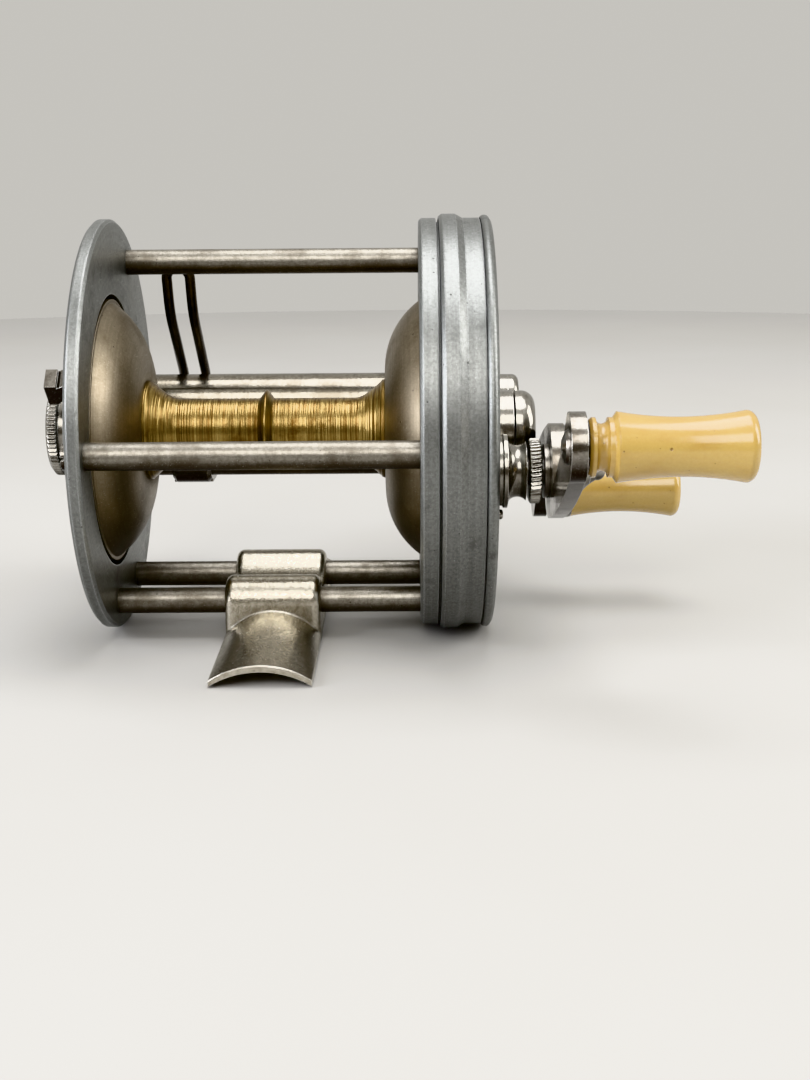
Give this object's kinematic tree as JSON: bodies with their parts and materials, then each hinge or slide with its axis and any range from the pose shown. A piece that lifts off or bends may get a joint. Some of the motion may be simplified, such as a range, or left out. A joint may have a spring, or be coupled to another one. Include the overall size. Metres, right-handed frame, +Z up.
{
  "type": "bait casting reel",
  "caption": "Level-wind bait-casting reel with open round frame, brass spool arbor, twin-knob crank, slotted level-wind tube, wire line guide and arched foot.",
  "frame": {"origin": "centre of the bounding box in plan, on the surface the reel stands on", "axes": "+X along the spool towards the crank, +Y to the front where the line leaves, +Z up"},
  "size_m": [0.0796, 0.068, 0.0515],
  "materials": {
    "cast_aluminium": "satin",
    "nickel_plate": "polished, tarnished",
    "nickel_silver": "satin",
    "arbor_brass": "turned",
    "gear_brass": "machined",
    "steel": "machined",
    "guide_wire": "polished",
    "tarnished_foot": "worn polish",
    "spring_steel": "smooth",
    "ivory_plastic": "gloss"
  },
  "bodies": {
    "frame": {"tail_plate": "cast_aluminium", "tail_bush": "gear_brass", "head_plate": "cast_aluminium", "head_ring": "cast_aluminium", "head_cover": "cast_aluminium", "case_posts": "gear_brass", "cover_screws": "nickel_plate", "pillar_top": "nickel_plate", "pillar_rear": "nickel_plate", "pillar_lower_rear": "nickel_plate", "pillar_lower_front": "nickel_plate", "guide_rod": "nickel_plate", "tail_screws": "nickel_plate", "head_screws": "nickel_plate", "level_wind_tube": "nickel_plate", "idler_post": "steel", "shaft_foot": "gear_brass", "spool_cap_boss": "nickel_plate", "worm_cap_boss": "nickel_plate", "worm_cap": "nickel_plate", "shaft_bearing": "nickel_plate", "bearing_pin": "nickel_plate", "reel_foot": "tarnished_foot", "click_spring": "spring_steel"},
    "tail_tension_cap": {"tail_cap": "nickel_plate"},
    "head_tension_cap": {"spool_cap": "nickel_plate"},
    "collar": {"bearing_collar": "nickel_plate"},
    "click_slider": {"click_button": "nickel_plate"},
    "click_dog": {"click_pawl": "steel"},
    "crank": {"main_shaft": "steel", "drive_gear": "gear_brass", "crank_washer": "nickel_plate", "crank_arm": "nickel_plate", "crank_nut": "nickel_plate", "knob_rivets": "steel"},
    "rear_knob": {"knob_rear": "ivory_plastic"},
    "front_knob": {"knob_front": "ivory_plastic"},
    "spool": {"spool_arbor": "arbor_brass", "spool_flange_tail": "nickel_silver", "spool_flange_head": "nickel_silver", "spool_spindle": "steel", "spool_pinion": "steel", "click_wheel": "steel"},
    "idler": {"idler_gear": "gear_brass"},
    "worm_shaft": {"worm": "steel", "worm_gear": "gear_brass"},
    "line_carriage": {"carriage": "nickel_plate", "pawl_cap": "nickel_plate", "line_guide": "guide_wire"},
    "carriage_pawl": {"pawl": "steel"}
  },
  "joints": [
    {"name": "crank_turn", "type": "hinge", "parent": "frame", "child": "crank", "pos_m": [0.014, -0.00774, 0.02215], "axis": [1, 0, 0], "continuous": true},
    {"name": "spool_turn", "type": "hinge", "parent": "frame", "child": "spool", "pos_m": [-0.0133, 0.00299, 0.02555], "axis": [1, 0, 0], "continuous": true},
    {"name": "idler_turn", "type": "hinge", "parent": "frame", "child": "idler", "pos_m": [0.0089, 0.01428, 0.02353], "axis": [1, 0, 0], "continuous": true},
    {"name": "worm_turn", "type": "hinge", "parent": "frame", "child": "worm_shaft", "pos_m": [-0.0133, 0.02629, 0.0254], "axis": [1, 0, 0], "continuous": true},
    {"name": "carriage_traverse", "type": "slide", "parent": "frame", "child": "line_carriage", "axis": [1, 0, 0], "range_m": [-0.003, 0.0285]},
    {"name": "pawl_swivel", "type": "hinge", "parent": "line_carriage", "child": "carriage_pawl", "pos_m": [-0.02605, 0.03034, 0.0254], "axis": [0, 1, 0], "range_deg": [-30, 30]},
    {"name": "rear_knob_turn", "type": "hinge", "parent": "crank", "child": "rear_knob", "pos_m": [0.0226, -0.03024, 0.02894], "axis": [1, 0, 0], "continuous": true},
    {"name": "front_knob_turn", "type": "hinge", "parent": "crank", "child": "front_knob", "pos_m": [0.0226, 0.01476, 0.01536], "axis": [1, 0, 0], "continuous": true},
    {"name": "click_slide", "type": "slide", "parent": "frame", "child": "click_slider", "axis": [0, 0.7193, -0.6947], "range_m": [0, 0.001]},
    {"name": "click_pawl_swing", "type": "hinge", "parent": "click_slider", "child": "click_dog", "pos_m": [-0.034, -0.00363, 0.03194], "axis": [1, 0, 0], "range_deg": [-10, 10]},
    {"name": "tail_cap_turn", "type": "hinge", "parent": "frame", "child": "tail_tension_cap", "pos_m": [-0.0374, 0.00299, 0.02555], "axis": [1, 0, 0], "range_deg": [-180, 180]},
    {"name": "spool_cap_turn", "type": "hinge", "parent": "frame", "child": "head_tension_cap", "pos_m": [0.014, 0.00299, 0.02555], "axis": [1, 0, 0], "range_deg": [-180, 180]},
    {"name": "collar_turn", "type": "hinge", "parent": "frame", "child": "collar", "pos_m": [0.014, -0.00774, 0.02215], "axis": [1, 0, 0], "range_deg": [-90, 90]}
  ],
  "couplings": [
    {"joint": "spool_turn", "follows": "crank_turn", "ratio": -4},
    {"joint": "idler_turn", "follows": "crank_turn", "ratio": 0.97561},
    {"joint": "worm_turn", "follows": "crank_turn", "ratio": -3.0769}
  ]
}
